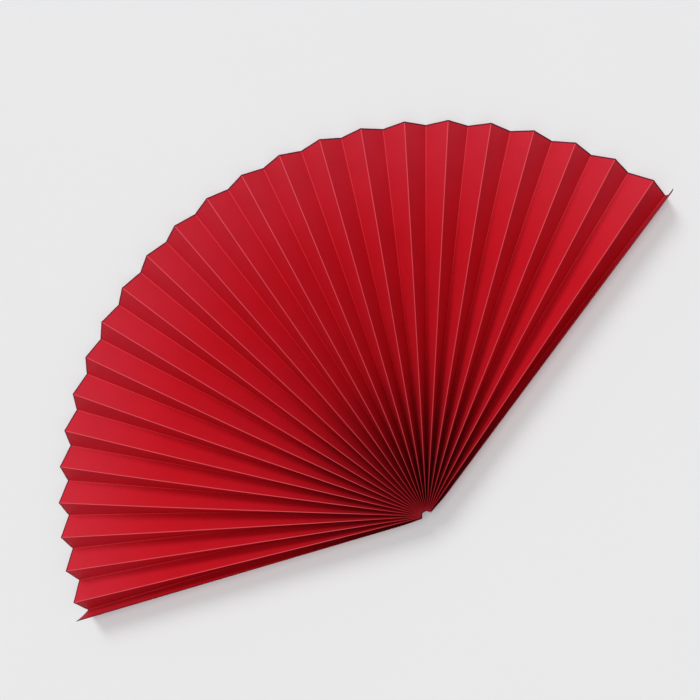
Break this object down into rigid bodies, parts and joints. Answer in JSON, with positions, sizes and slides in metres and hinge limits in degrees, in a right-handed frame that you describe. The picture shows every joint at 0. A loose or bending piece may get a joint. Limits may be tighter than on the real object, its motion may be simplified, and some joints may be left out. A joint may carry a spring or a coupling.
{
  "type": "paper fan rosette",
  "caption": "Red card sheet folded into an open pleated fan, gathered to a point at one end, for a wall or table decoration.",
  "frame": {"origin": "where the lines of the folds meet at the gathered end, on the plane that the back lies on", "axes": "+Y along the middle of the open fan, from the gathered end to the rim; +Z out of the front; +X to the right as seen from the front"},
  "size_m": [0.5795, 0.3029, 0.021],
  "materials": {
    "red_card": "matte"
  },
  "bodies": {
    "root": {"pleated_sheet": "red_card"}
  },
  "joints": []
}
